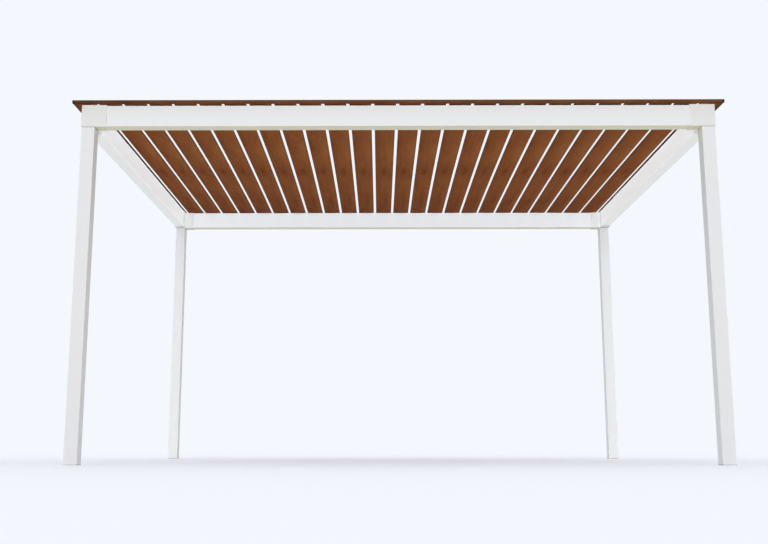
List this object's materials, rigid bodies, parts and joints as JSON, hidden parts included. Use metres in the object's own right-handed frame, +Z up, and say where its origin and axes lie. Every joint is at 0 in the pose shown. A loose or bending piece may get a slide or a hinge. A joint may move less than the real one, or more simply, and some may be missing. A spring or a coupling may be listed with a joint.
{
  "type": "pergola",
  "caption": "Free-standing rectangular pergola: white square posts and box beams joined by corner connectors, carrying a flat roof of spaced wooden boards with a low rim.",
  "frame": {"origin": "on the ground, at the middle of the plan", "axes": "+X to the right along the long side, +Y from the front to the back, +Z up"},
  "size_m": [4, 2.962, 2.202],
  "materials": {
    "white_frame": "white powder coat, satin",
    "white_connector": "white powder coat, satin",
    "foot_grey": "pale grey powder coat, satin",
    "roof_wood": "brown stained boards, satin",
    "rim_wood": "brown stained boards, satin"
  },
  "bodies": {
    "root": {"post_front_left": "white_frame", "post_front_right": "white_frame", "post_back_right": "white_frame", "post_back_left": "white_frame", "foot_front_left": "foot_grey", "foot_front_right": "foot_grey", "foot_back_right": "foot_grey", "foot_back_left": "foot_grey", "corner_front_left": "white_connector", "corner_front_right": "white_connector", "corner_back_right": "white_connector", "corner_back_left": "white_connector", "beam_front": "white_frame", "beam_right": "white_frame", "beam_back": "white_frame", "beam_left": "white_frame", "rim_front": "rim_wood", "rim_right": "rim_wood", "rim_back": "rim_wood", "rim_left": "rim_wood", "slat_01": "roof_wood", "slat_02": "roof_wood", "slat_03": "roof_wood", "slat_04": "roof_wood", "slat_05": "roof_wood", "slat_06": "roof_wood", "slat_07": "roof_wood", "slat_08": "roof_wood", "slat_09": "roof_wood", "slat_10": "roof_wood", "slat_11": "roof_wood", "slat_12": "roof_wood", "slat_13": "roof_wood", "slat_14": "roof_wood", "slat_15": "roof_wood", "slat_16": "roof_wood", "slat_17": "roof_wood", "slat_18": "roof_wood", "slat_19": "roof_wood", "slat_20": "roof_wood", "slat_21": "roof_wood", "slat_22": "roof_wood", "slat_23": "roof_wood", "slat_24": "roof_wood", "slat_25": "roof_wood", "slat_26": "roof_wood"}
  },
  "joints": []
}
